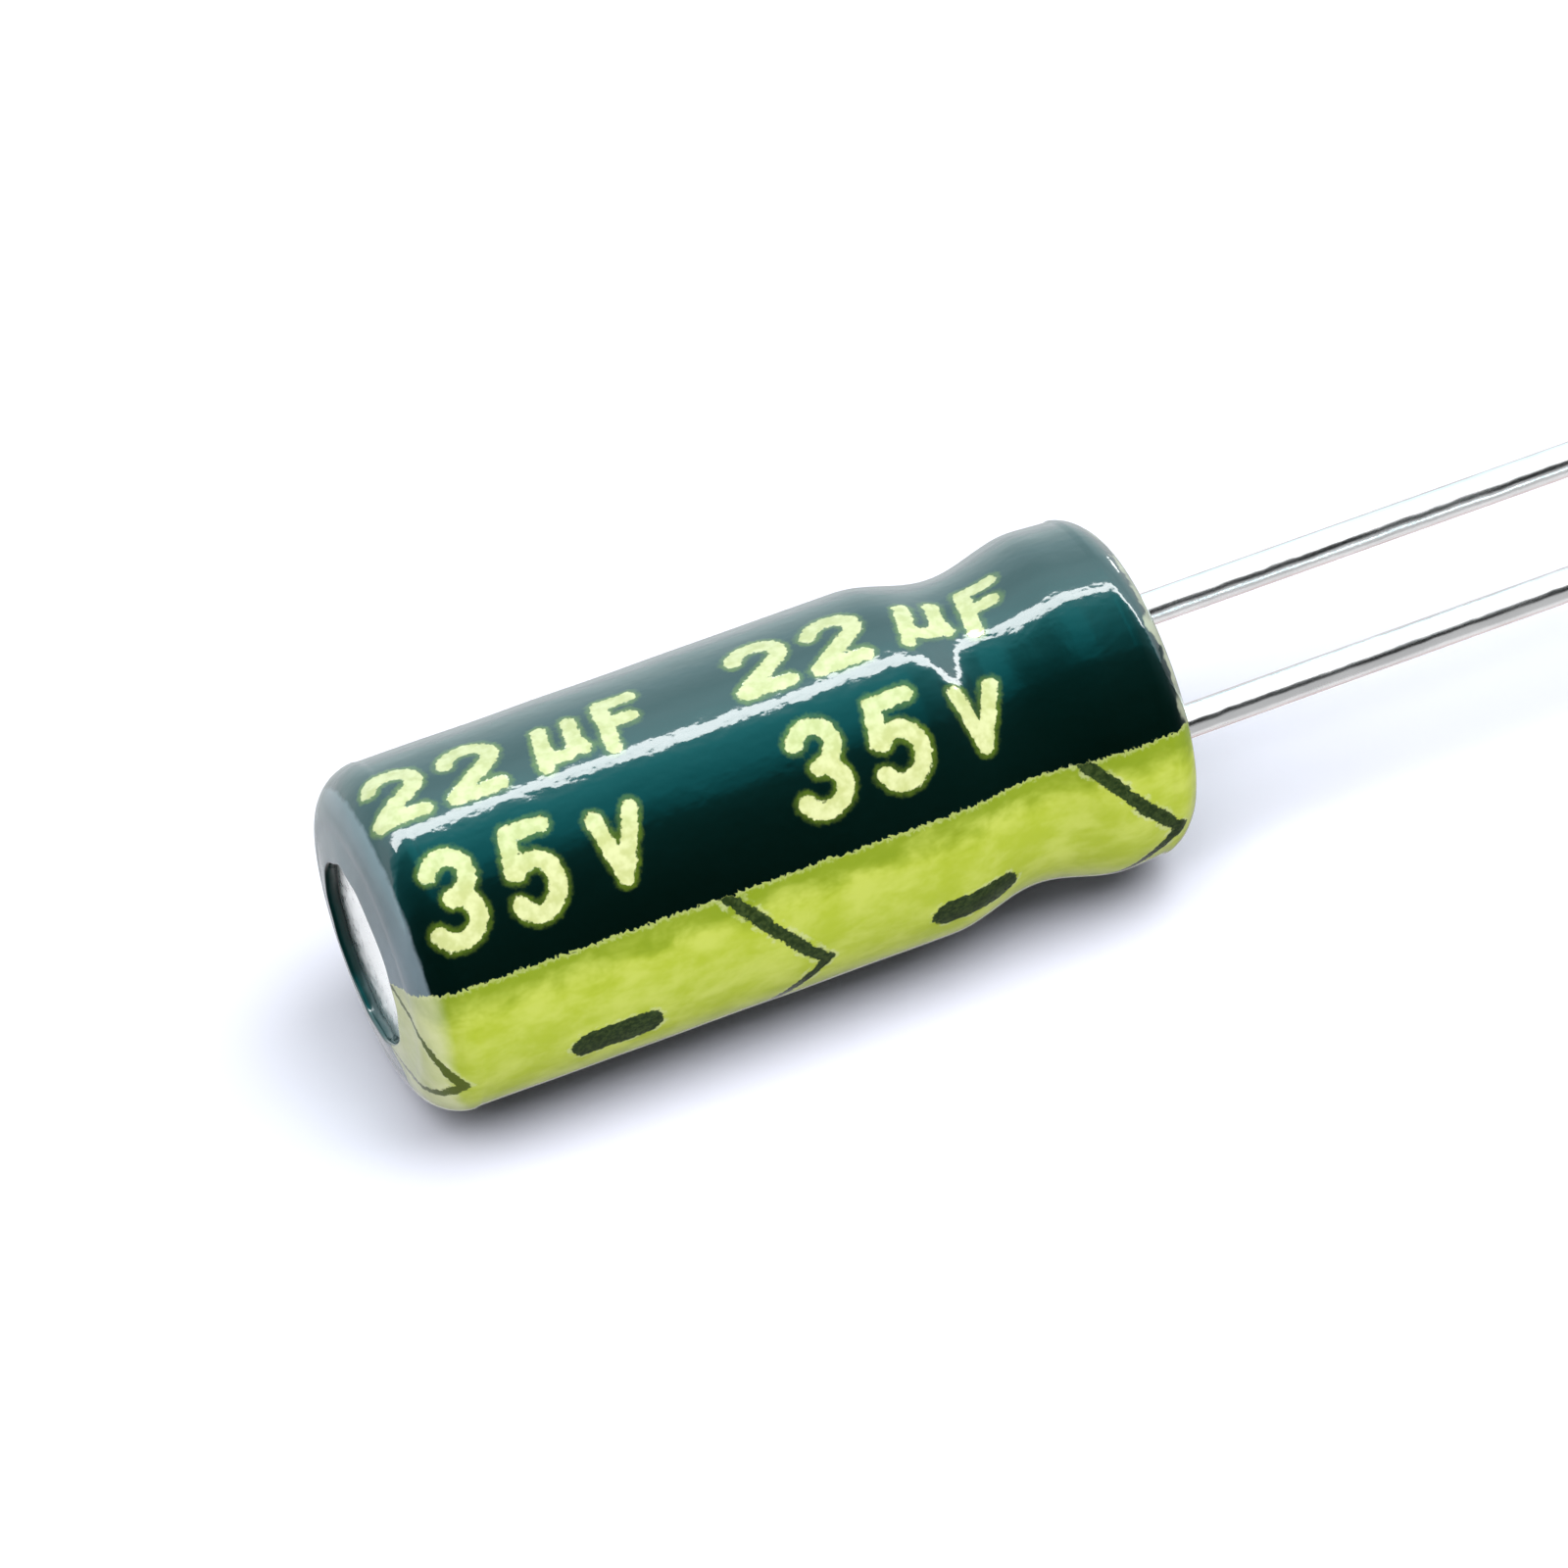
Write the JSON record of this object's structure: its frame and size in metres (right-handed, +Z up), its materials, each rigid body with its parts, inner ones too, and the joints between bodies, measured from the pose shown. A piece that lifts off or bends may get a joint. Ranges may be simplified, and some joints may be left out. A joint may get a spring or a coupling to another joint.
{
  "type": "electrolytic capacitor",
  "caption": "Radial aluminium electrolytic capacitor lying on its side: round can in a printed sleeve, bead groove, crimped rubber bung, wound foils and straight tinned leads.",
  "frame": {"origin": "on the case axis, in the seating plane: the plane of the rubber bung's outer face and of the sleeve's flat lip, where the leads come out", "axes": "+X along the case axis towards the free ends of the leads, +Z up, -Y the side of the negative lead and of the printed band"},
  "size_m": [0.031, 0.0052, 0.0052],
  "materials": {
    "can_aluminium": "satin, drawn",
    "sleeve": "gloss, shrunk",
    "stripe_ink": "gloss print",
    "rating_ink": "gloss print",
    "mark_ink": "gloss print",
    "bung_rubber": "matte",
    "tinned_wire": "bright tinned",
    "tab_aluminium": "satin",
    "etched_foil": "matte, etched",
    "plain_foil": "satin",
    "separator_paper": "matte, soaked",
    "tape": "semi-gloss film"
  },
  "bodies": {
    "root": {"aluminium_can": "can_aluminium", "printed_sleeve": "sleeve", "rubber_bung": "bung_rubber", "anode_lead": "tinned_wire", "cathode_lead": "tinned_wire", "anode_tab": "tab_aluminium", "cathode_tab": "tab_aluminium", "anode_foil": "etched_foil", "cathode_foil": "plain_foil", "inner_separator": "separator_paper", "outer_separator": "separator_paper", "winding_tape": "tape"}
  },
  "joints": []
}
